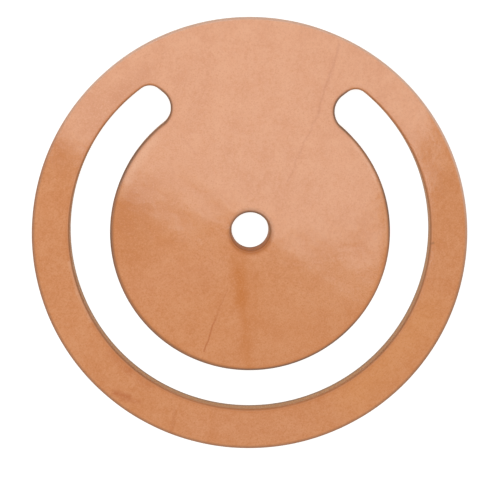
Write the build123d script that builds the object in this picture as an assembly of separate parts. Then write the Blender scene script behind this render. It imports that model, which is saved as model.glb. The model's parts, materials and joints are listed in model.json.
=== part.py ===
from build123d import *
import os
from math import cos, radians, sin

# A flap valve leather for a hand pump. It is one flat die-cut disc of thick
# vegetable-tanned leather, in millimetres, lying on z = 0 with its grain side up.
# A C-shaped slot divides it into an outer ring, which is clamped as a gasket
# between the pump's base and its cylinder, and a round flap inside, which
# closes the water port. A neck at the +Y side joins them and bends like a hinge.
# The neck is cut into strips across Y, so that the bend runs over its length.
# The origin is the centre of the ring's outer edge, on the underside.

INCH = 25.4

THICKNESS = 3 / 16 * INCH
RING_RADIUS = 4.25 / 2 * INCH
SLOT_MIDDLE_RADIUS = 3.125 / 2 * INCH
SLOT_WIDTH = 10.0
BOLT_HOLE_RADIUS = 0.375 / 2 * INCH

SLOT_OUTER_RADIUS = SLOT_MIDDLE_RADIUS + SLOT_WIDTH / 2
FLAP_RADIUS = SLOT_MIDDLE_RADIUS - SLOT_WIDTH / 2

# The slot and the flap share a centre, a little nearer the neck than the ring's
# own centre. The bolt hole is a little nearer still.
FLAP_CENTRE_Y = 0.87
BOLT_HOLE_Y = 1.4

# The ends of the slot lie on two straight lines that meet on the Y axis, this
# far above the flap's centre, and open by this angle each side of +Y. Each end
# has a tight corner towards the ring and a wider one towards the flap.
END_LINES_MEET = 17.0
END_LINE_ANGLE = 51.5
RING_SIDE_CORNER = 3.4
FLAP_SIDE_CORNER = 4.8

# The neck bends over a few strips of equal length along Y. The first bend line
# lies just below the top of the slot's ends.
BEND_TOP_Y = 34.75
STRIP_LENGTH = 2.5
STRIP_COUNT = 3
BEND_BOTTOM_Y = BEND_TOP_Y - STRIP_COUNT * STRIP_LENGTH

# Each strip's zone reaches into the slot on both sides of the neck.
STRIP_REACH_X = 24.5


def about_flap_centre(shape):
    """Place a flat shape, drawn about its own origin, on the flap's centre."""
    return Pos(0, FLAP_CENTRE_Y) * shape


def wedge(meet_y, half_angle, reach):
    """A triangle that opens upwards from (0, meet_y), by half_angle each side."""
    x = reach * sin(radians(half_angle))
    y = meet_y + reach * cos(radians(half_angle))
    return Polygon((0, meet_y), (x, y), (-x, y), align=None)


def slot():
    """The C-shaped slot, with both of its ends rounded."""
    band = Circle(SLOT_OUTER_RADIUS) - Circle(FLAP_RADIUS)
    band -= wedge(END_LINES_MEET, END_LINE_ANGLE, 2 * RING_RADIUS)
    by_height = band.vertices().filter_by(lambda point: point.Y > END_LINES_MEET).sort_by(Axis.Y)
    flap_side, ring_side = by_height[:2], by_height[2:]
    band = fillet(ring_side, RING_SIDE_CORNER)
    flap_side = [band.vertices().sort_by_distance(point)[0] for point in flap_side]
    return about_flap_centre(fillet(flap_side, FLAP_SIDE_CORNER))


def leather_outline():
    """The whole disc as the die cuts it."""
    outline = Circle(RING_RADIUS) - slot()
    return outline - Pos(0, BOLT_HOLE_Y) * Circle(BOLT_HOLE_RADIUS)


def neck_zone(top_y, bottom_y):
    """A rectangle across the neck, from one bend line down to another."""
    middle_y = (top_y + bottom_y) / 2
    return Pos(0, middle_y) * Rectangle(2 * STRIP_REACH_X, top_y - bottom_y)


def flap_zone():
    """Everything inside the middle of the slot, below the last bend line."""
    below = Pos(0, BEND_BOTTOM_Y - RING_RADIUS) * Rectangle(2 * RING_RADIUS, 2 * RING_RADIUS)
    return about_flap_centre(Circle(SLOT_MIDDLE_RADIUS)) & below


def node_outlines():
    """The outline of every node, by the node's name."""
    leather = leather_outline()
    bending = neck_zone(BEND_TOP_Y, BEND_BOTTOM_Y)
    outlines = {"gasket_ring": leather - flap_zone() - bending}
    for strip in range(STRIP_COUNT):
        top_y = BEND_TOP_Y - strip * STRIP_LENGTH
        outlines[f"hinge_web_{strip + 1}"] = leather & neck_zone(top_y, top_y - STRIP_LENGTH)
    outlines["valve_flap"] = leather & flap_zone()
    return outlines


os.makedirs("parts", exist_ok=True)
for name, outline in node_outlines().items():
    export_step(extrude(outline, THICKNESS), f"parts/{name}.step")
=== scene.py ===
import json
import math

import bpy
import numpy as np
from mathutils import Matrix, Vector


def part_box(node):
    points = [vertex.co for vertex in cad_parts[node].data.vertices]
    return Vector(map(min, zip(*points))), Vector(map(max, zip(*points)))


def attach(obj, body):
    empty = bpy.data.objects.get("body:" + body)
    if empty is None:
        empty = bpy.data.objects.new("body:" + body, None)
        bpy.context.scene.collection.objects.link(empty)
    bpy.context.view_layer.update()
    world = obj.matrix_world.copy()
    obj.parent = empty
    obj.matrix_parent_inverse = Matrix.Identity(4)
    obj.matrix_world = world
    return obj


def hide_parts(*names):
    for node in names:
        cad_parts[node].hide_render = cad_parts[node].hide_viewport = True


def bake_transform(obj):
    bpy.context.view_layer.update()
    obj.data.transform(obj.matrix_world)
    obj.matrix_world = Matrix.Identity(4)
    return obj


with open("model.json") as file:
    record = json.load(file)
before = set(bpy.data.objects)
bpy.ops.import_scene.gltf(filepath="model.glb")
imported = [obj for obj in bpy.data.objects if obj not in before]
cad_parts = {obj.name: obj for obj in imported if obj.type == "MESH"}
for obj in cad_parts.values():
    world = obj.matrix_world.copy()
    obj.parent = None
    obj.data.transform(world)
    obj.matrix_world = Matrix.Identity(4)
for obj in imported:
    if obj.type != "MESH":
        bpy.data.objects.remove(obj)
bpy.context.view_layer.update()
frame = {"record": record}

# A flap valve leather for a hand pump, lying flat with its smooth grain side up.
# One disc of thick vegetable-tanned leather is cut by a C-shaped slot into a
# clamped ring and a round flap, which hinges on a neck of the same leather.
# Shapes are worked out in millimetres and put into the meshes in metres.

MM = 0.001


# ---------------------------------------------------------------- sizes, from the frame

def in_mm(corner):
    """A corner of a node's box, in millimetres."""
    return np.array(corner) / MM


ring_low, ring_high = (in_mm(corner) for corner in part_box("gasket_ring"))
flap_low, flap_high = (in_mm(corner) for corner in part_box("valve_flap"))
strips = [[in_mm(corner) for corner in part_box(f"hinge_web_{number}")] for number in (1, 2, 3)]
bolt_hole = next(m for m in frame["record"]["mounts"] if m["name"] == "weight_bolt_hole")

THICKNESS = ring_high[2]
RING_RADIUS = (ring_high[0] - ring_low[0]) / 2
FLAP_RADIUS = (flap_high[0] - flap_low[0]) / 2
FLAP_CENTRE = np.array([0.0, flap_low[1] + FLAP_RADIUS])
HOLE_RADIUS = bolt_hole["dims"]["r_mm"]
HOLE_CENTRE = np.array(bolt_hole["pos_m"][:2]) / MM
BEND_LINES = [strips[0][1][1]] + [low[1] for low, high in strips]

# The slot is this wide. Its ends lie on two straight lines that open upwards from
# a point above the flap's centre. Each end has a tight and a wider corner.
SLOT_WIDTH = 10.0
SLOT_RADIUS = FLAP_RADIUS + SLOT_WIDTH
END_LINES_RISE = 17.0
END_LINES_MEET = FLAP_CENTRE + np.array([0.0, END_LINES_RISE])
END_LINE_ANGLE = math.radians(51.5)
RING_SIDE_CORNER = 3.4
FLAP_SIDE_CORNER = 4.8

# The neck's folds run on past the outer bend lines, into the ring and the flap.
FOLD_OVERRUN = 1.65
FOLDS_TOP = BEND_LINES[0] + FOLD_OVERRUN
FOLDS_BOTTOM = BEND_LINES[-1] - FOLD_OVERRUN

# How much the die rounds the top edge over, and the underside's edge.
TOP_ROUNDING = 0.38
UNDERSIDE_ROUNDING = 0.25

# How far the punched wall of the bolt hole stands in at its foot.
HOLE_LIP = 0.18

# How far the die draws the grain side down at the slot and the rim, and the
# distance in which that dies away.
EDGE_DRAW = 0.035
EDGE_DRAW_REACH = 0.8

# The flap's slight twist against the ring: its steepest slope, the length of its
# wave across, how far it reaches and how sharply it ends there.
TWIST = 0.0085
TWIST_LENGTH = 136.0
TWIST_REACH = 40.0
TWIST_END = 6


# ---------------------------------------------------------------- the outline

along_end = np.array([math.sin(END_LINE_ANGLE), math.cos(END_LINE_ANGLE)])
into_slot = np.array([along_end[1], -along_end[0]])


def corner_centre(corner, reach):
    """Centre of a slot end's corner circle on the +X side: one corner radius inside
    the slot from the end line, and reach from the flap's centre."""
    start = END_LINES_MEET - FLAP_CENTRE + corner * into_slot
    middle = start @ along_end
    travel = -middle + math.sqrt(middle**2 - start @ start + reach**2)
    return FLAP_CENTRE + start + travel * along_end


ring_corner = corner_centre(RING_SIDE_CORNER, SLOT_RADIUS - RING_SIDE_CORNER)
flap_corner = corner_centre(FLAP_SIDE_CORNER, FLAP_RADIUS + FLAP_SIDE_CORNER)


def distance(x, y, centre):
    """Distance of points from a centre, in plan."""
    return np.hypot(x - centre[0], y - centre[1])


def turn_from_neck(point):
    """Angle at the flap's centre between +Y, the neck's direction, and a point."""
    return math.atan2(point[0] - FLAP_CENTRE[0], point[1] - FLAP_CENTRE[1])


def slot_distance(x, y):
    """Distance in the leather from the slot's edge. Beside the ring and the flap it
    is the distance from their circles. Round the slot's ends it is the distance from
    the end line between the feet of the two corner circles, and from the nearer of
    those circles elsewhere."""
    side = np.abs(x)
    radius = distance(side, y, FLAP_CENTRE)
    turn = np.arctan2(side, y - FLAP_CENTRE[1])
    across, above = side - END_LINES_MEET[0], y - END_LINES_MEET[1]
    from_line = -(across * into_slot[0] + above * into_slot[1])
    on_line = across * along_end[0] + above * along_end[1]
    line_start = (flap_corner - END_LINES_MEET) @ along_end
    line_end = (ring_corner - END_LINES_MEET) @ along_end
    from_corners = np.minimum(distance(side, y, ring_corner) - RING_SIDE_CORNER,
                              distance(side, y, flap_corner) - FLAP_SIDE_CORNER)
    found = np.where((on_line > line_start) & (on_line < line_end), from_line, from_corners)
    outside = radius > FLAP_RADIUS + SLOT_WIDTH / 2
    found = np.where(outside & (turn >= turn_from_neck(ring_corner)), radius - SLOT_RADIUS, found)
    return np.where(~outside & (turn >= turn_from_neck(flap_corner)), FLAP_RADIUS - radius, found)


def rim_distance(x, y):
    """Distance in the leather from the outer rim."""
    return np.maximum(0, RING_RADIUS - np.hypot(x, y))


def inner_distance(x, y):
    """Distance in the leather from the slot or the bolt hole, whichever is nearer."""
    from_hole = distance(x, y, HOLE_CENTRE) - HOLE_RADIUS
    return np.maximum(0, np.minimum(from_hole, slot_distance(x, y)))


def edge_distance(x, y):
    """Distance in the leather from the nearest cut edge."""
    return np.minimum(rim_distance(x, y), inner_distance(x, y))


def neck_half_width(y):
    """Half the neck's width at each y: out to the flap's circle, then to the wider
    corner's circle, the end line and the tighter corner's circle."""
    def chord(centre, radius):
        return np.sqrt(np.maximum(0, radius**2 - (y - centre[1])**2))
    share = FLAP_RADIUS / (FLAP_RADIUS + FLAP_SIDE_CORNER)
    toward_flap = FLAP_CENTRE + (flap_corner - FLAP_CENTRE) * share
    line_start = flap_corner - FLAP_SIDE_CORNER * into_slot
    line_end = ring_corner - RING_SIDE_CORNER * into_slot
    line_x = line_start[0] + (y - line_start[1]) * along_end[0] / along_end[1]
    return np.select([y <= toward_flap[1], y <= line_start[1], y <= line_end[1]],
                     [chord(FLAP_CENTRE, FLAP_RADIUS),
                      flap_corner[0] - chord(flap_corner, FLAP_SIDE_CORNER), line_x],
                     ring_corner[0] - chord(ring_corner, RING_SIDE_CORNER))


def reach_to_circle(turn, pole, centre, radius):
    """How far a ray from the pole, turned from +Y, goes to the far side of a circle."""
    offset = np.array(centre) - pole
    ahead = offset[0] * np.sin(turn) + offset[1] * np.cos(turn)
    return ahead + np.sqrt(np.maximum(0, ahead**2 - offset @ offset + radius**2))


# ---------------------------------------------------------------- the leather's thickness

# Slow waves of the grain side: height, turns along X and along Y in radians for each
# millimetre, and starting turn.
slow_waves = ((0.030, 0.061, 0.043, 0.4), (0.022, -0.083, 0.117, 1.9), (0.014, 0.21, 0.16, 0.8),
              (0.010, -0.37, 0.29, 2.7), (0.004, 0.52, 0.61, 5.1))

# The underside lifts off the floor by up to twice this.
UNDERSIDE_LIFT = 0.05


def unevenness(x, y):
    """Slow waves in the grain side: a sum of crossed sines, each of up to three
    hundredths of a millimetre, as a split and rolled hide keeps. The flap also has a slight
    twist against the ring: y times a sine across x, inside a flat-topped bell."""
    waved = sum(size * np.sin(along_x * x + along_y * y + start)
                for size, along_x, along_y, start in slow_waves)
    bell = np.exp(-(distance(x, y, HOLE_CENTRE) / TWIST_REACH)**TWIST_END)
    return waved + TWIST * y * np.sin(2 * math.pi * x / TWIST_LENGTH) * bell


def rolled_over(from_edge, rounding):
    """How far a face drops towards its edge: a quarter circle of the rounding's radius."""
    return rounding - np.sqrt(rounding**2 - np.maximum(0, rounding - from_edge)**2)


def grain_height(x, y):
    """Height of the grain side: the thickness and its slow waves, less the edge's roll
    and a gentle draw towards the slot and the rim, which dies away exponentially."""
    from_long_edges = np.maximum(0, np.minimum(RING_RADIUS - np.hypot(x, y), slot_distance(x, y)))
    drawn_down = EDGE_DRAW * np.exp(-from_long_edges / EDGE_DRAW_REACH)
    rolled = rolled_over(edge_distance(x, y), TOP_ROUNDING)
    return THICKNESS + unevenness(x, y) - drawn_down - rolled


def underside_height(x, y):
    """Height of the underside: a lift in slow waves, one sine along X times one along
    Y, and the edge's roll."""
    lift = UNDERSIDE_LIFT * (1 + np.sin(0.11 * x + 1.3) * np.sin(0.09 * y + 0.5))
    return lift + rolled_over(edge_distance(x, y), UNDERSIDE_ROUNDING)


# Distances from a cut edge at which a face gets a row: close together on the rolled edge.
EDGE_ROWS = np.array([0, 0.02, 0.08, 0.17, 0.29, 0.42, 0.56, 0.75, 1.0, 1.3, 1.65, 2.05, 2.5])

# Rows down a cut wall, and the depth shares of its highest and its lowest row.
WALL_ROWS = 7
WALL_TOP_SHARE = 0.88
WALL_FOOT_SHARE = 0.06

# Faces that meet at more than this stay a sharp edge.
SHARP_ANGLE = math.radians(50)


def rows_across(start, end, count):
    """Distances along lines of different lengths: edge rows at both ends, measured
    from each end, and even steps between. start and end hold one value for each line."""
    start, end = start[:, None], end[:, None]
    share = np.linspace(0, 1, count + 2)[1:-1][None, :]
    inner, outer = start + EDGE_ROWS[-1], end - EDGE_ROWS[-1]
    middle = inner + (outer - inner) * share
    return np.concatenate([start + EDGE_ROWS, middle, end - EDGE_ROWS[::-1]], axis=1)


def wall(start, end):
    """Even steps between two values for each line, ends left out: the heights or the
    reaches of a cut wall's rows."""
    share = np.linspace(0, 1, WALL_ROWS + 2)[1:-1][None, :]
    return start[:, None] + (end - start)[:, None] * share


def depth_shares(over, under):
    """Depth shares round a section's loop: 1 for its points over the grain side, 0
    for those underneath, and even steps down and up the walls between."""
    down = np.linspace(WALL_TOP_SHARE, WALL_FOOT_SHARE, WALL_ROWS)
    return np.concatenate([np.ones(over), down, np.zeros(under), down[::-1]])


# ---------------------------------------------------------------- putting surfaces into meshes

def make_mesh(name, points, faces, depth):
    """A mesh from points in millimetres, with the attributes that its leather reads:
    each point's place at rest, its distances from the rim and from the inner edges,
    and its depth share, all kept when the neck bends."""
    flat = points.reshape(-1, 3)
    mesh = bpy.data.meshes.new(name)
    mesh.from_pydata(flat * MM, [], faces)
    mesh.validate()
    place = mesh.attributes.new("rest_place", "FLOAT_VECTOR", "POINT")
    place.data.foreach_set("vector", flat.astype(np.float32).ravel())
    values = {"rim_distance": rim_distance(flat[:, 0], flat[:, 1]),
              "inner_distance": inner_distance(flat[:, 0], flat[:, 1]), "depth_share": depth}
    for value_name, value in values.items():
        made = mesh.attributes.new(value_name, "FLOAT", "POINT")
        made.data.foreach_set("value", value.astype(np.float32).ravel())
    mesh.polygons.foreach_set("use_smooth", np.ones(len(mesh.polygons), bool))
    mesh.set_sharp_from_angle(angle=SHARP_ANGLE)
    piece = bpy.data.objects.new(name, mesh)
    bpy.context.scene.collection.objects.link(piece)
    return piece


def loop_faces(columns, loop, closed):
    """Quads between neighbouring columns of points, each column a closed loop. With
    closed, the last column joins the first."""
    count = columns if closed else columns - 1
    column, place = np.meshgrid(np.arange(count), np.arange(loop), indexing="ij")
    after, beside = (column + 1) % columns, (place + 1) % loop
    corners = [column * loop + place, after * loop + place,
               after * loop + beside, column * loop + beside]
    return np.stack(corners, axis=-1).reshape(-1, 4)


def section_round(pole, turn, near, far, top_rows, bottom_rows, lip=0.0):
    """A closed band of leather round a pole. Along each ray, turned from +Y, the
    section's loop runs out over the grain side from the near edge to the far edge,
    down the far wall, back under the leather and up the near wall, whose foot stands
    nearer to the pole by the lip."""
    over = rows_across(near, far, top_rows)
    under = rows_across(near - lip, far, bottom_rows)[:, ::-1]
    reach = np.concatenate([over, np.repeat(far[:, None], WALL_ROWS, axis=1),
                            under, wall(near - lip, near)], axis=1)
    x = pole[0] + reach * np.sin(turn)[:, None]
    y = pole[1] + reach * np.cos(turn)[:, None]
    top, bottom = grain_height(x, y), underside_height(x, y)
    over_count, under_count = over.shape[1], under.shape[1]
    last, first = over_count - 1, over_count + WALL_ROWS
    z = np.concatenate([
        top[:, :over_count],
        wall(top[:, last], bottom[:, last]),
        bottom[:, first:first + under_count],
        wall(bottom[:, 0], top[:, 0])], axis=1)
    depth = depth_shares(over_count, under_count)
    return np.stack([x, y, z], axis=-1), np.tile(depth, (len(turn), 1))


# ---------------------------------------------------------------- ring, folds and flap

# Where the neck's columns of points lie, as shares of its half width: the edge rows
# at both sides, scaled to about that width, and even steps between.
ABOUT_NECK_HALF_WIDTH = 22.0
MIDDLE_COLUMNS = 90
side_steps = 1 - EDGE_ROWS / ABOUT_NECK_HALF_WIDTH
middle_steps = np.linspace(-side_steps[-1], side_steps[-1], MIDDLE_COLUMNS + 2)[1:-1]
neck_columns = np.concatenate([-side_steps, middle_steps, side_steps[::-1]])

# How finely each piece is drawn: rays the long way round, how much they crowd towards
# the slot's ends, and even rows between the edge rows, above and underneath.
RING_RAYS, RING_CROWDING, RING_ROWS_ABOVE, RING_ROWS_UNDER = 560, 0.55, 16, 8
FLAP_RAYS, FLAP_CROWDING, FLAP_ROWS_ABOVE, FLAP_ROWS_UNDER = 380, 0.0, 52, 26
FOLD_ROW_STEP = 0.2

# Slack when a turn is compared with the turn of the seam.
ROUND_OFF = 1e-9


def turns_round(pole, seam_y, count, crowding):
    """The rays of a band round a pole: through the neck's columns at the seam, and
    from there the long way round, closer together towards the slot's ends."""
    seam = np.arctan2(neck_columns * neck_half_width(np.array([seam_y])), seam_y - pole[1])
    share = np.linspace(0, 1, count + 2)[1:-1]
    share = share - crowding * np.sin(2 * math.pi * share) / (2 * math.pi)
    return np.concatenate([seam, seam[-1] + (2 * math.pi - 2 * seam[-1]) * share]), seam[-1]


def folded_back(turn):
    """The same directions, measured from +Y to either side."""
    return np.abs((turn + math.pi) % (2 * math.pi) - math.pi)


def ring_leather():
    """The outer ring, out from the seam with the neck, the slot's tighter corners
    and its outer circle to the rim."""
    pole = np.zeros(2)
    turn, seam_turn = turns_round(pole, FOLDS_TOP, RING_RAYS, RING_CROWDING)
    aside = folded_back(turn)
    share = RING_SIDE_CORNER / (SLOT_RADIUS - RING_SIDE_CORNER)
    circle_turn = math.atan2(*(ring_corner + (ring_corner - FLAP_CENTRE) * share))
    near = np.select([aside <= seam_turn + ROUND_OFF, aside <= circle_turn],
                     [FOLDS_TOP / np.cos(aside),
                      reach_to_circle(aside, pole, ring_corner, RING_SIDE_CORNER)],
                     reach_to_circle(aside, pole, FLAP_CENTRE, SLOT_RADIUS))
    far = np.full_like(near, RING_RADIUS)
    points, depth = section_round(pole, turn, near, far, RING_ROWS_ABOVE, RING_ROWS_UNDER)
    return make_mesh("ring_leather", points, loop_faces(*points.shape[:2], True).tolist(), depth)


def flap_leather():
    """The flap, out from the bolt hole to its own circle and the seam with the neck."""
    turn, seam_turn = turns_round(HOLE_CENTRE, FOLDS_BOTTOM, FLAP_RAYS, FLAP_CROWDING)
    aside = folded_back(turn)
    far = np.where(aside <= seam_turn + ROUND_OFF,
                   (FOLDS_BOTTOM - HOLE_CENTRE[1]) / np.cos(aside),
                   reach_to_circle(aside, HOLE_CENTRE, FLAP_CENTRE, FLAP_RADIUS))
    near = np.full_like(far, HOLE_RADIUS)
    points, depth = section_round(HOLE_CENTRE, turn, near, far,
                                  FLAP_ROWS_ABOVE, FLAP_ROWS_UNDER, HOLE_LIP)
    return make_mesh("flap_leather", points, loop_faces(*points.shape[:2], True).tolist(), depth)


def neck_fold(name, top_y, bottom_y):
    """One fold of the neck, in rows along Y. Each row's loop runs over the grain side
    from -X to +X, down the cut wall, back underneath and up. Its two ends, which
    meet the next pieces, are closed."""
    y_rows = np.linspace(top_y, bottom_y, int(round((top_y - bottom_y) / FOLD_ROW_STEP)) + 1)
    half = neck_half_width(y_rows)[:, None]
    over = half * neck_columns
    wide = over.shape[1]
    side_wall = np.repeat(half, WALL_ROWS, axis=1)
    x = np.concatenate([over, side_wall, over[:, ::-1], -side_wall], axis=1)
    y = np.repeat(y_rows[:, None], x.shape[1], axis=1)
    top, bottom = grain_height(x, y), underside_height(x, y)
    z = np.concatenate([top[:, :wide], wall(top[:, wide - 1], bottom[:, wide - 1]),
                        bottom[:, wide + WALL_ROWS:2 * wide + WALL_ROWS],
                        wall(bottom[:, 0], top[:, 0])], axis=1)
    points = np.stack([x, y, z], axis=-1)
    rows, loop = x.shape
    faces = loop_faces(rows, loop, False).tolist()
    faces += end_cap(0, wide, loop, False) + end_cap((rows - 1) * loop, wide, loop, True)
    return make_mesh(name, points, faces, np.tile(depth_shares(wide, wide), (rows, 1)))


def end_cap(first, wide, loop, turned):
    """Faces across the end of a fold: from each point above to the one below it. The
    two outermost faces also take in the wall's points."""
    above = first + np.arange(wide)
    below = first + wide + WALL_ROWS + np.arange(wide)[::-1]
    quads = np.stack([above[1:-2], above[2:-1], below[2:-1], below[1:-2]], axis=-1).tolist()
    right = [above[-2], above[-1], *range(above[-1] + 1, below[-1]), below[-1], below[-2]]
    left = [above[1], below[1], below[0], *range(below[0] + 1, first + loop), above[0]]
    caps = quads + [[int(i) for i in right], [int(i) for i in left]]
    return [cap[::-1] for cap in caps] if turned else caps


# ---------------------------------------------------------------- shader nodes

def add(tree, kind, inputs=(), **settings):
    """Add a node. inputs gives numbers, colours or sockets, by position or by name."""
    made = tree.nodes.new("ShaderNode" + kind)
    for key, value in settings.items():
        setattr(made, key, value)
    pairs = inputs.items() if isinstance(inputs, dict) else enumerate(inputs)
    for key, value in pairs:
        if isinstance(value, bpy.types.NodeSocket):
            tree.links.new(value, made.inputs[key])
        elif value is not None:
            made.inputs[key].default_value = value
    return made


def maths(tree, operation, *values, clamp=False):
    """One step of arithmetic. MULTIPLY_ADD gives first x second + third."""
    return add(tree, "Math", values, operation=operation, use_clamp=clamp).outputs[0]


def step(tree, value, low, high, to_low=0.0, to_high=1.0):
    """A smooth step from to_low, at low, to to_high, at high."""
    return add(tree, "MapRange", (value, low, high, to_low, to_high),
               interpolation_type="SMOOTHSTEP").outputs[0]


# Sockets of the Mix node that carry its share and its colours, and its colour output.
MIX_SHARE, MIX_FIRST, MIX_SECOND, MIX_COLOUR = 0, 6, 7, 2


def mixed(tree, share, first, second):
    """Two colours mixed. share is how much of the second."""
    return add(tree, "Mix", {MIX_SHARE: share, MIX_FIRST: first, MIX_SECOND: second},
               data_type="RGBA").outputs[MIX_COLOUR]


def noise(tree, place, scale, detail=3.0, roughness=0.55):
    """Cloudy noise from 0 to 1. scale is about how many clouds there are in one unit of
    the place."""
    return add(tree, "TexNoise", {"Vector": place, "Scale": scale, "Detail": detail,
                                  "Roughness": roughness}, noise_dimensions="3D").outputs["Fac"]


def vector_maths(tree, operation, *values):
    """The outputs of one step of vector arithmetic."""
    return add(tree, "VectorMath", values, operation=operation).outputs


def in_plan(tree, place):
    """A place with its height taken out."""
    return vector_maths(tree, "MULTIPLY", place, (1.0, 1.0, 0.0))["Vector"]


def from_point(tree, flat, point):
    """Distance in plan from a point."""
    return vector_maths(tree, "DISTANCE", flat, (*point, 0.0))["Value"]


def along_way(tree, flat, way):
    """How far a place in plan lies along a way out from the origin."""
    return vector_maths(tree, "DOT_PRODUCT", flat, (*way, 0.0))["Value"]


def new_group(name, inputs, outputs):
    """An empty node group. inputs and outputs give each socket's name and its kind
    or its starting number."""
    group = bpy.data.node_groups.new(name, "ShaderNodeTree")
    for socket_name, kind in inputs.items():
        made = group.interface.new_socket(
            socket_name, in_out="INPUT",
            socket_type="NodeSocketVector" if kind == "vector" else "NodeSocketFloat")
        if kind != "vector":
            made.default_value = kind
    for socket_name, kind in outputs.items():
        group.interface.new_socket(socket_name, in_out="OUTPUT", socket_type="NodeSocket" + kind)
    return group, group.nodes.new("NodeGroupInput").outputs, group.nodes.new("NodeGroupOutput").inputs


def use_group(tree, group, inputs):
    """Place a node group, with numbers or sockets for its inputs by name."""
    made = tree.nodes.new("ShaderNodeGroup")
    made.node_tree = group
    for key, value in inputs.items():
        if isinstance(value, bpy.types.NodeSocket):
            tree.links.new(value, made.inputs[key])
        else:
            made.inputs[key].default_value = value
    return made.outputs


def mottle_group():
    """Cloudy tone, from -1 to 1: slow clouds, and blotches a quarter of their size."""
    group, given, result = new_group(
        "cloudy_tone", {"Place": "vector", "Cloud Size": 16.0}, {"Tone": "Float"})
    scale = maths(group, "DIVIDE", 1.0, given["Cloud Size"])
    clouds = noise(group, given["Place"], scale, 4.0)
    blotches = noise(group, given["Place"], maths(group, "MULTIPLY", scale, 4.3), 3.0, 0.6)
    tone = maths(group, "MULTIPLY_ADD", blotches, 0.45, maths(group, "MULTIPLY", clouds, 0.55))
    group.links.new(step(group, tone, 0.3, 0.7, -1.0, 1.0), result["Tone"])
    return group


def line_group():
    """A mark along a straight line: full on the line from its start to its end, and
    fading over its width. The line wavers a little."""
    group, given, result = new_group(
        "drawn_line", {"Place": "vector", "Start X": 0.0, "Start Y": 0.0, "End X": 0.0,
                       "End Y": 1.0, "Width": 1.0, "Waver": 0.3}, {"Mask": "Float"})
    place = add(group, "SeparateXYZ", (given["Place"],)).outputs
    drift = maths(group, "SUBTRACT", noise(group, given["Place"], 0.25, 2.0), 0.5)
    wavering_x = maths(group, "MULTIPLY_ADD", drift, given["Waver"], place[0])
    x = maths(group, "SUBTRACT", wavering_x, given["Start X"])
    y = maths(group, "SUBTRACT", place[1], given["Start Y"])
    run_x = maths(group, "SUBTRACT", given["End X"], given["Start X"])
    run_y = maths(group, "SUBTRACT", given["End Y"], given["Start Y"])

    def summed_products(first_x, second_x, first_y, second_y):
        return maths(group, "ADD", maths(group, "MULTIPLY", first_x, second_x),
                     maths(group, "MULTIPLY", first_y, second_y))

    share = maths(group, "DIVIDE", summed_products(x, run_x, y, run_y),
                  summed_products(run_x, run_x, run_y, run_y), clamp=True)
    off_x = maths(group, "SUBTRACT", x, maths(group, "MULTIPLY", share, run_x))
    off_y = maths(group, "SUBTRACT", y, maths(group, "MULTIPLY", share, run_y))
    off = maths(group, "SQRT", summed_products(off_x, off_x, off_y, off_y))
    near = maths(group, "SUBTRACT", 1.0, maths(group, "DIVIDE", off, given["Width"]), clamp=True)
    group.links.new(maths(group, "SMOOTH_MIN", near, 1.0, 0.2), result["Mask"])
    return group


def fibre_group():
    """Cut or raised fibres: fine noise drawn out along Z by Stretch, for height and tone."""
    group, given, result = new_group(
        "leather_fibres", {"Place": "vector", "Fibre Size": 0.3, "Stretch": 3.0},
        {"Height": "Float", "Tone": "Float"})
    shortened = maths(group, "DIVIDE", 1.0, given["Stretch"])
    stretch = add(group, "CombineXYZ", (1.0, 1.0, shortened)).outputs[0]
    drawn = vector_maths(group, "MULTIPLY", given["Place"], stretch)["Vector"]
    scale = maths(group, "DIVIDE", 1.0, given["Fibre Size"])
    fine = noise(group, drawn, scale, 3.0, 0.6)
    coarse = noise(group, given["Place"], maths(group, "MULTIPLY", scale, 0.3), 2.0)
    height = maths(group, "MULTIPLY_ADD", coarse, 0.6, maths(group, "MULTIPLY", fine, 0.6))
    group.links.new(height, result["Height"])
    group.links.new(step(group, fine, 0.25, 0.75, -1.0, 1.0), result["Tone"])
    return group


mottle = mottle_group()
drawn_line = line_group()
fibres = fibre_group()


# ---------------------------------------------------------------- the leather's own looks

# Linear colours.
TAN = (0.655, 0.258, 0.100, 1.0)
TAN_DARK = (0.560, 0.190, 0.055, 1.0)
TAN_LIGHT = (0.730, 0.335, 0.160, 1.0)
STAIN = (0.570, 0.175, 0.030, 1.0)
STAIN_DEEP = (0.450, 0.120, 0.008, 1.0)
RUSSET = (0.480, 0.130, 0.035, 1.0)
BURNISHED = (0.185, 0.086, 0.040, 1.0)
CUT_FIBRE = (0.450, 0.200, 0.066, 1.0)
CUT_FIBRE_PALE = (0.550, 0.285, 0.115, 1.0)
CUT_FOOT = (0.230, 0.135, 0.072, 1.0)
SCORCHED = (0.360, 0.115, 0.018, 1.0)
# Painted highlight: the shine of the rolled rim beside the neck.
PAINTED_RIM_HIGHLIGHT = (0.600, 0.420, 0.325, 1.0)
PINKISH = (0.700, 0.310, 0.165, 1.0)
# Painted glint: a light colour that stands in for the shine on rolled edges.
PAINTED_GLINT = (0.820, 0.470, 0.290, 1.0)
AMBER = (0.720, 0.300, 0.100, 1.0)
FLESH = (0.500, 0.300, 0.170, 1.0)
FLESH_PALE = (0.610, 0.410, 0.260, 1.0)

# Ways in plan from the origin along which the lines at the edges change.
TOWARD_NECK = (0.25, 0.968)
UPPER_RIGHT = (0.7, 0.7)
LOW_LEFT = (-0.90, -0.43)
LOW_RIGHT = (0.94, -0.34)

# The lowest part of the slot's outer edge, where the scorched line is strongest.
SLOT_LOWEST = (2.0, -44.0)

# Sizes of the leather's clouds and fibres in millimetres.
LARGE_CLOUDS, SMALL_CLOUDS, SHINE_CLOUDS, NAP_CLOUDS = 15.0, 5.0, 12.0, 9.0
CUT_FIBRE_SIZE, CUT_FIBRE_STRETCH = 0.35, 4.0
NAP_FIBRE_SIZE, NAP_FIBRE_STRETCH = 0.45, 1.0

# Stretch streaks: their turn in plan, and their length and width in millimetres.
STREAK_TURN = math.radians(70)
STREAK_SIZE = (7.0, 0.8, 1.0)

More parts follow.
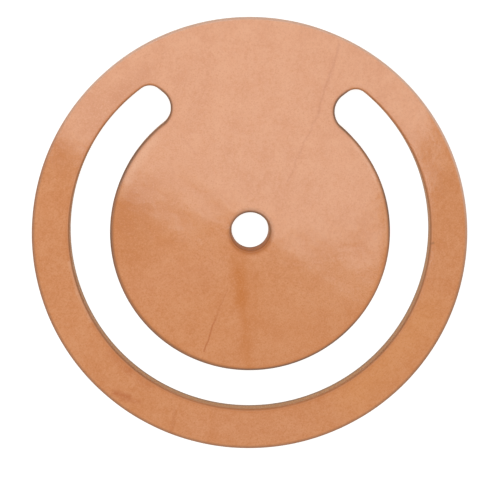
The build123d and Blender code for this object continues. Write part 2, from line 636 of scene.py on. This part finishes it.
# The grain's roughness where it is smooth, the cut edge's, how much rougher the grain
# gets close to an edge, and how much its shine changes from cloud to cloud.
GRAIN_ROUGHNESS, CUT_ROUGHNESS, EDGE_ROUGHER, SHINE_CHANGES = 0.09, 0.78, 0.45, 0.02

# Metres that a bump height of 1 stands for, on fibres and on the grain.
FIBRE_BUMP, GRAIN_BUMP = 0.00012, 0.0000025


def round_flap(beyond, turns):
    """Points at some turns from +X round the flap's centre, beyond its circle by so much."""
    reach = FLAP_RADIUS + beyond
    return [(FLAP_CENTRE[0] + reach * math.cos(turn), FLAP_CENTRE[1] + reach * math.sin(turn))
            for turn in map(math.radians, turns)]


def along_edge(beyond, turns, width, strength, paint):
    """A line painted along a cut edge, as marks between points round the flap."""
    points = round_flap(beyond, turns)
    return tuple((*ends, width, 0.1, strength, paint) for ends in zip(points, points[1:]))


# Marks on the grain side: start and end in plan, width and waver in millimetres, then
# strength and colour. First scratches and stains, then broad changes of tone, then
# painted glints, light lines in place of the shine on the rolled edges, and scorched stretches along
# the edges.
marks = (
    ((21.0, 47.6), (16.0, 31.4), 0.50, 2.0, 0.42, RUSSET),
    ((16.0, 31.4), (9.0, 14.0), 0.40, 2.5, 0.34, RUSSET),
    ((-5.5, -13.0), (-8.3, -21.0), 0.26, 1.2, 0.40, RUSSET),
    ((-8.3, -21.0), (-10.9, -29.0), 0.30, 1.2, 0.85, RUSSET),
    ((-3.6, -4.0), (-1.8, -15.0), 2.4, 1.5, 0.42, STAIN),
    ((-1.8, -15.0), (0.2, -33.0), 2.0, 1.5, 0.46, STAIN),
    ((-2.6, -9.0), (-2.0, -16.0), 3.0, 1.0, 0.60, STAIN),
    ((-33.0, -40.1), (-29.6, -41.0), 1.25, 1.0, 0.75, RUSSET),
    ((-31.5, -41.8), (-27.0, -42.2), 0.90, 1.0, 0.40, RUSSET),
    ((-18.0, -44.5), (-19.0, -50.0), 0.70, 2.0, 0.35, RUSSET),
    ((-9.0, -45.0), (-8.2, -52.0), 1.00, 2.0, 0.25, STAIN),
    ((-27.0, 9.0), (-22.0, 5.0), 6.0, 6.0, 0.30, TAN_DARK),
    ((-37.0, 31.0), (-29.0, -2.0), 9.0, 6.0, 0.50, TAN_DARK),
    ((-33.0, 34.0), (-26.5, 39.5), 4.0, 3.0, 0.70, TAN_DARK),
    ((40.0, 24.0), (47.0, 14.0), 4.5, 3.0, 0.30, TAN_DARK),
    ((-20.0, 20.0), (-19.2, 12.0), 0.70, 3.0, 0.30, TAN_DARK),
    ((-17.5, 25.0), (-14.0, 20.5), 0.50, 2.0, 0.20, RUSSET),
    ((44.7, -0.9), (45.5, -0.7), 0.40, 0.1, 0.90, BURNISHED),
    ((-47.5, 22.5), (-45.5, 17.0), 4.0, 2.0, 0.45, TAN_DARK),
    ((-31.5, 11.5), (-26.5, 8.5), 4.5, 2.0, 0.45, TAN_DARK),
    ((44.0, -20.0), (28.0, -39.0), 9.0, 4.0, 0.45, AMBER),
    ((-12.0, -48.5), (12.0, -48.5), 7.0, 3.0, 0.22, PINKISH),
    ((-30.0, -14.0), (-12.0, -8.0), 9.0, 4.0, 0.25, PINKISH),
    ((10.0, -16.0), (26.0, -12.0), 8.0, 4.0, 0.35, TAN_LIGHT),
    ((1.5, -12.0), (1.5, -22.0), 4.0, 2.0, 0.28, STAIN),
    # Painted glints: light lines along the flap's upper edges and the ring's lower left inner edge,
    # in place of the rolled edge's shine.
    *along_edge(-0.75, (44, 32, 20, 8, -4), 0.60, 0.45, PAINTED_GLINT),
    *along_edge(-1.40, (136, 150, 164), 1.90, 0.32, PAINTED_GLINT),
    *along_edge(SLOT_WIDTH + 0.65, (190, 200, 210), 0.65, 0.70, PAINTED_GLINT),
    *along_edge(SLOT_WIDTH + 1.20, (222, 230, 238), 1.80, 0.30, RUSSET),
)


def hole_stain(tree, place):
    """How strongly water and rust have stained the leather just round the bolt hole:
    most on the side away from the neck."""
    out = vector_maths(tree, "SUBTRACT", in_plan(tree, place), (*HOLE_CENTRE, 0.0))["Vector"]
    reach = vector_maths(tree, "LENGTH", out)["Value"]
    near = step(tree, reach, HOLE_RADIUS + 0.3, HOLE_RADIUS + 1.5, 1.0, 0.0)
    away_from_neck = along_way(tree, out, (0.0, -1.0))
    return maths(tree, "MULTIPLY", near, step(tree, away_from_neck, -1.5, 3.5, 0.0, 0.78))


def clouds(tree, place, size):
    """The cloudy tone, from -1 to 1, with clouds of that size."""
    return use_group(tree, mottle, {"Place": place, "Cloud Size": size})["Tone"]


def marked(tree, place, colour):
    """The grain's colour with every mark drawn over it in turn."""
    for start, end, width, waver, strength, paint in marks:
        mask = use_group(tree, drawn_line, {
            "Place": place, "Start X": start[0], "Start Y": start[1],
            "End X": end[0], "End Y": end[1], "Width": width, "Waver": waver})["Mask"]
        colour = mixed(tree, maths(tree, "MULTIPLY", mask, strength), colour, paint)
    return colour


def grain_side(tree, place, from_rim, from_inner):
    """Colour and height of the smooth grain side: cloudy tan, stretch streaks, pores,
    marks, and a burnished line along every cut edge. Its height is fine pores and
    wrinkles on broad shallow dents."""
    large = clouds(tree, place, LARGE_CLOUDS)
    colour = mixed(tree, step(tree, large, -1.0, 1.0, 0.0, 0.40), TAN, TAN_DARK)
    small = clouds(tree, place, SMALL_CLOUDS)
    colour = mixed(tree, step(tree, small, -1.0, 1.0, 0.0, 0.50), colour, TAN_LIGHT)
    lean = add(tree, "Mapping", {"Vector": place, "Rotation": (0, 0, STREAK_TURN),
                                 "Scale": STREAK_SIZE}, vector_type="TEXTURE")
    streak = noise(tree, lean.outputs[0], 1.0)
    colour = mixed(tree, step(tree, streak, 0.55, 0.8, 0.0, 0.30), colour, TAN_DARK)
    colour = marked(tree, place, colour)
    pores = noise(tree, place, 2.6, 2.0, 0.7)
    colour = mixed(tree, step(tree, pores, 0.50, 0.72, 0.0, 0.62), colour, TAN_DARK)
    colour = mixed(tree, step(tree, pores, 0.50, 0.28, 0.0, 0.52), colour, TAN_LIGHT)
    colour = mixed(tree, step(tree, from_inner, 0.35, 1.40, 0.40, 0.0), colour, TAN_DARK)

    cells = add(tree, "TexVoronoi", {"Vector": place, "Scale": 0.9}, feature="DISTANCE_TO_EDGE")
    wrinkle = step(tree, cells.outputs[0], 0.0, 0.12)
    height = maths(tree, "MULTIPLY_ADD", wrinkle, 0.4, maths(tree, "MULTIPLY", pores, 0.6))
    dents = noise(tree, place, 0.20, 2.0)
    height = maths(tree, "MULTIPLY_ADD", dents, 12.0, height)
    return edge_lines(tree, place, colour, from_rim, from_inner), height


def edge_lines(tree, place, colour, from_rim, from_inner):
    """The grain's colour with the lines along all its cut edges."""
    colour = inner_lines(tree, place, colour, from_inner)
    return rim_lines(tree, place, colour, from_rim)


def inner_lines(tree, place, colour, from_inner):
    """The lines along the slot and the bolt hole: a halo round the hole, a soft
    darkening, then a burnished line that comes and goes. It is wider at the flap's
    lower left and worn at its lower right, and on the ring it is narrower, and
    scorched browner towards the lowest part of the slot. A stain lies at the hole."""
    flat = in_plan(tree, place)
    toward_halo = along_way(tree, flat, UPPER_RIGHT)
    halo_reach = step(tree, from_point(tree, flat, HOLE_CENTRE),
                      HOLE_RADIUS + 0.4, HOLE_RADIUS + 1.6, 1.0, 0.0)
    halo = maths(tree, "MULTIPLY", halo_reach, step(tree, toward_halo, -2.0, 4.0, 0.05, 0.34))
    colour = mixed(tree, halo, colour, BURNISHED)

    on_ring = step(tree, from_point(tree, flat, FLAP_CENTRE), SLOT_RADIUS - 3.0, SLOT_RADIUS - 1.0)
    on_flap = maths(tree, "SUBTRACT", 1.0, on_ring)
    soft = maths(tree, "MULTIPLY", step(tree, from_inner, 0.35, 1.40, 1.0, 0.0),
                 maths(tree, "MULTIPLY_ADD", on_ring, -0.25, 0.40))
    colour = mixed(tree, soft, colour, TAN_DARK)

    from_lowest = from_point(tree, flat, SLOT_LOWEST)
    scorch = maths(tree, "MULTIPLY", on_ring, step(tree, from_lowest, 8.0, 38.0, 1.0, 0.55))
    comes_and_goes = step(tree, noise(tree, place, 0.09, 2.0), 0.35, 0.65, 0.72, 0.95)
    strength = maths(tree, "MULTIPLY", comes_and_goes,
                     maths(tree, "MULTIPLY_ADD", scorch, -0.35, 1.0))
    toward_worn = along_way(tree, flat, LOW_RIGHT)
    worn = maths(tree, "MULTIPLY", on_flap, step(tree, toward_worn, 30.5, 33.8, 0.0, -0.40))
    strength = maths(tree, "MULTIPLY_ADD", strength, worn, strength)
    toward_wide = along_way(tree, flat, LOW_LEFT)
    wider = maths(tree, "MULTIPLY_ADD", on_flap, step(tree, toward_wide, 8.0, 30.0, 0.0, 0.35), 0.80)
    fades_at = maths(tree, "MULTIPLY_ADD", on_ring, -0.22, wider)
    line = maths(tree, "MULTIPLY", step(tree, from_inner, 0.20, fades_at, 1.0, 0.0), strength)
    colour = mixed(tree, line, colour, mixed(tree, scorch, BURNISHED, SCORCHED))
    return mixed(tree, hole_stain(tree, place), colour, STAIN_DEEP)


def rim_lines(tree, place, colour, from_rim):
    """The line along the outer rim: a painted highlight, pale and greyish, beside the neck,
    and burnished dark round the rest."""
    up = along_way(tree, in_plan(tree, place), TOWARD_NECK)
    # Painted highlight: a pale greyish line along the rim beside the neck, in place of the rolled
    # edge's shine.
    rim_highlight = maths(tree, "MULTIPLY", step(tree, from_rim, 0.20, 0.80, 0.7, 0.0),
                 step(tree, up, -6.0, 30.0))
    colour = mixed(tree, rim_highlight, colour, PAINTED_RIM_HIGHLIGHT)
    dark = maths(tree, "MULTIPLY", step(tree, from_rim, 0.20, 1.00, 0.62, 0.0),
                 step(tree, up, -6.0, 30.0, 1.0, 0.0))
    return mixed(tree, dark, colour, BURNISHED)


def cut_edge(tree, place, depth):
    """Colour and height of the die-cut wall: brown fibres drawn down by the die, dark
    at the foot and just under the grain, and stained in the bolt hole."""
    fibre = use_group(tree, fibres, {"Place": place, "Fibre Size": CUT_FIBRE_SIZE,
                                     "Stretch": CUT_FIBRE_STRETCH})
    colour = mixed(tree, step(tree, fibre["Tone"], -1.0, 1.0, 0.0, 0.6), CUT_FIBRE, CUT_FIBRE_PALE)
    colour = mixed(tree, hole_stain(tree, place), colour, STAIN_DEEP)
    colour = mixed(tree, step(tree, depth, 0.35, 0.08, 0.0, 0.85), colour, CUT_FOOT)
    colour = mixed(tree, step(tree, depth, 0.88, 0.98, 0.0, 0.40), colour, BURNISHED)
    return colour, fibre["Height"]


def flesh_side(tree, place):
    """Colour and height of the underside: pale, short-napped suede, cloudy."""
    nap = use_group(tree, fibres, {"Place": place, "Fibre Size": NAP_FIBRE_SIZE,
                                   "Stretch": NAP_FIBRE_STRETCH})
    tone = clouds(tree, place, NAP_CLOUDS)
    colour = mixed(tree, step(tree, nap["Tone"], -1.0, 1.0), FLESH, FLESH_PALE)
    colour = mixed(tree, step(tree, tone, -1.0, 1.0, 0.0, 0.35), colour, CUT_FIBRE_PALE)
    return colour, nap["Height"]


def pump_leather():
    """One leather for every piece. The depth share says where the grain side, the cut
    edge and the flesh side are."""
    material = bpy.data.materials.new("pump_leather")
    material.use_nodes = True
    tree = material.node_tree
    tree.nodes.clear()
    place = add(tree, "Attribute", attribute_name="rest_place").outputs["Vector"]
    from_rim, from_inner, depth = (
        add(tree, "Attribute", attribute_name=value_name).outputs["Fac"]
        for value_name in ("rim_distance", "inner_distance", "depth_share"))

    grain_colour, grain = grain_side(tree, place, from_rim, from_inner)
    cut_colour, cut = cut_edge(tree, place, depth)
    flesh_colour, flesh = flesh_side(tree, place)
    is_grain = step(tree, depth, 0.90, 0.97)
    inside = maths(tree, "MINIMUM", from_rim, from_inner)
    is_flesh = maths(tree, "MULTIPLY", step(tree, depth, 0.04, 0.0),
                     step(tree, inside, 0.10, 0.40))
    colour = mixed(tree, is_grain, cut_colour, grain_colour)
    colour = mixed(tree, is_flesh, colour, flesh_colour)

    rough = maths(tree, "MULTIPLY_ADD", is_grain, GRAIN_ROUGHNESS - CUT_ROUGHNESS, CUT_ROUGHNESS)
    smudge = maths(tree, "MULTIPLY", clouds(tree, place, SHINE_CLOUDS), is_grain)
    rough = maths(tree, "MULTIPLY_ADD", smudge, SHINE_CHANGES, rough)
    rougher = maths(tree, "MULTIPLY", is_grain, EDGE_ROUGHER)
    rough = maths(tree, "MULTIPLY_ADD", step(tree, inside, 0.70, 0.30), rougher, rough)

    not_flesh = maths(tree, "SUBTRACT", 1.0, is_flesh)
    not_grain = maths(tree, "SUBTRACT", 1.0, is_grain)
    fibre_height = maths(tree, "ADD", maths(tree, "MULTIPLY", cut, not_flesh),
                         maths(tree, "MULTIPLY", flesh, is_flesh))
    fibre_height = maths(tree, "MULTIPLY", not_grain, fibre_height)
    raised = add(tree, "Bump", {"Strength": 1.0, "Distance": FIBRE_BUMP, "Height": fibre_height})
    grain_height_there = maths(tree, "MULTIPLY", grain, is_grain)
    fine = add(tree, "Bump", {"Strength": 1.0, "Distance": GRAIN_BUMP,
                              "Height": grain_height_there, "Normal": raised.outputs[0]})
    shader = add(tree, "BsdfPrincipled", {"Base Color": colour, "Roughness": rough,
                                          "Normal": fine.outputs[0], "IOR": 1.5})
    add(tree, "OutputMaterial", (shader.outputs[0],))
    return material


# ---------------------------------------------------------------- floor, light and camera

# The floor, in metres: half its width and the gap under the leather. Then its glow and
# its two whites.
FLOOR_REACH = 3.0
FLOOR_GAP = 0.0002
FLOOR_GLOW = 0.78
FLOOR_WHITE = (0.44, 0.44, 0.44, 1.0)
FLOOR_WHITER = (0.47, 0.47, 0.47, 1.0)
WHITE = (1.0, 1.0, 1.0, 1.0)


def floor():
    """A plain white floor just under the leather. It shines a little of itself, so
    that it stays white close to the leather."""
    mesh = bpy.data.meshes.new("floor")
    corners = [(x * FLOOR_REACH, y * FLOOR_REACH, -FLOOR_GAP)
               for x, y in ((-1, -1), (1, -1), (1, 1), (-1, 1))]
    mesh.from_pydata(corners, [], [(0, 1, 2, 3)])
    piece = bpy.data.objects.new("floor", mesh)
    bpy.context.scene.collection.objects.link(piece)
    paint = bpy.data.materials.new("floor_white")
    paint.use_nodes = True
    tree = paint.node_tree
    tree.nodes.clear()
    speck = noise(tree, add(tree, "TexCoord").outputs["Object"], 40.0)
    shade = mixed(tree, step(tree, speck, 0.3, 0.7), FLOOR_WHITE, FLOOR_WHITER)
    shader = add(tree, "BsdfPrincipled", {"Base Color": shade, "Roughness": 0.9,
                                          "Emission Color": WHITE,
                                          "Emission Strength": FLOOR_GLOW})
    add(tree, "OutputMaterial", (shader.outputs[0],))
    mesh.materials.append(paint)


def softbox(name, corner, along, across, length, width, radiance):
    """A rectangular light that faces down, from one corner in metres: length along one
    way, and width along the way that lies a quarter turn to the left of it. Its power
    gives it that radiance."""
    light = bpy.data.lights.new(name, "AREA")
    light.shape = "RECTANGLE"
    light.size, light.size_y = length, width
    light.energy = radiance * math.pi * length * width
    made = bpy.data.objects.new(name, light)
    side, front = Vector(along).normalized(), Vector(across).normalized()
    made.matrix_world = Matrix((side, front, side.cross(front))).transposed().to_4x4()
    made.matrix_world.translation = Vector(corner) + side * length / 2 + front * width / 2
    bpy.context.scene.collection.objects.link(made)


def room_light(radiance):
    """White light from all round, with that radiance."""
    world = bpy.data.worlds.new("studio")
    world.use_nodes = True
    background = world.node_tree.nodes["Background"].inputs
    background["Color"].default_value = WHITE
    background["Strength"].default_value = radiance
    bpy.context.scene.world = world


# The camera's distance in millimetres, its lens, its lean from straight above towards
# +X and +Y, its turn about its own axis, and the place in plan that it looks at.
CAMERA_AWAY = 420.0
CAMERA_LENS = 122.15
CAMERA_LEAN_X = math.radians(-1.51)
CAMERA_LEAN_Y = math.radians(8.75)
CAMERA_ROLL = math.radians(1.169)
CAMERA_TARGET = (-0.040, -0.705)
CAMERA_SENSOR = 36.0
CAMERA_SEES_FROM = 0.01


def camera():
    """Almost straight above, leaning towards the neck, and turned a little."""
    target = Vector((*CAMERA_TARGET, THICKNESS))
    back = Vector((math.tan(CAMERA_LEAN_X), math.tan(CAMERA_LEAN_Y), 1.0)).normalized()
    right = (-back).cross(Vector((0, 1, 0))).normalized()
    up = right.cross(-back)
    turned_right = right * math.cos(CAMERA_ROLL) + up * math.sin(CAMERA_ROLL)
    turned_up = up * math.cos(CAMERA_ROLL) - right * math.sin(CAMERA_ROLL)
    data = bpy.data.cameras.new("camera")
    data.lens = CAMERA_LENS
    data.sensor_width = CAMERA_SENSOR
    data.clip_start = CAMERA_SEES_FROM
    made = bpy.data.objects.new("camera", data)
    made.matrix_world = Matrix((turned_right, turned_up, back)).transposed().to_4x4()
    made.matrix_world.translation = (target + back * CAMERA_AWAY) * MM
    bpy.context.scene.collection.objects.link(made)
    bpy.context.scene.camera = made


# ---------------------------------------------------------------- everything together

camera()
floor()
room_light(0.50)
softbox("overhead_softbox", corner=(-0.37822, 0.10160, 0.500), along=(0.912, -0.409, 0),
        across=(0.409, 0.912, 0), length=0.50, width=0.30, radiance=2.9)
softbox("front_fill", corner=(-0.50, -0.75, 0.550), along=(1, 0, 0),
        across=(0, 1, 0), length=1.00, width=0.40, radiance=0.8)
bpy.context.scene.view_settings.view_transform = "Standard"

leather = pump_leather()

ring = ring_leather()
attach(ring, "ring")
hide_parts("gasket_ring")

flap = flap_leather()
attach(flap, "flap")
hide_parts("valve_flap")

# Each fold lies over one bend line, reaching to the middles between bend lines or past the outer
# ones.
middles = [(upper + lower) / 2 for upper, lower in zip(BEND_LINES, BEND_LINES[1:])]
fold_ends = [FOLDS_TOP, *middles, FOLDS_BOTTOM]
folds = []
for number, bend_y in enumerate(BEND_LINES):
    fold = neck_fold(f"neck_fold_{number + 1}", fold_ends[number], fold_ends[number + 1])
    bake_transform(fold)
    if number < len(strips):
        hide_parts(f"hinge_web_{number + 1}")
    folds.append(fold)

for piece in [ring, flap, *folds]:
    piece.data.materials.append(leather)
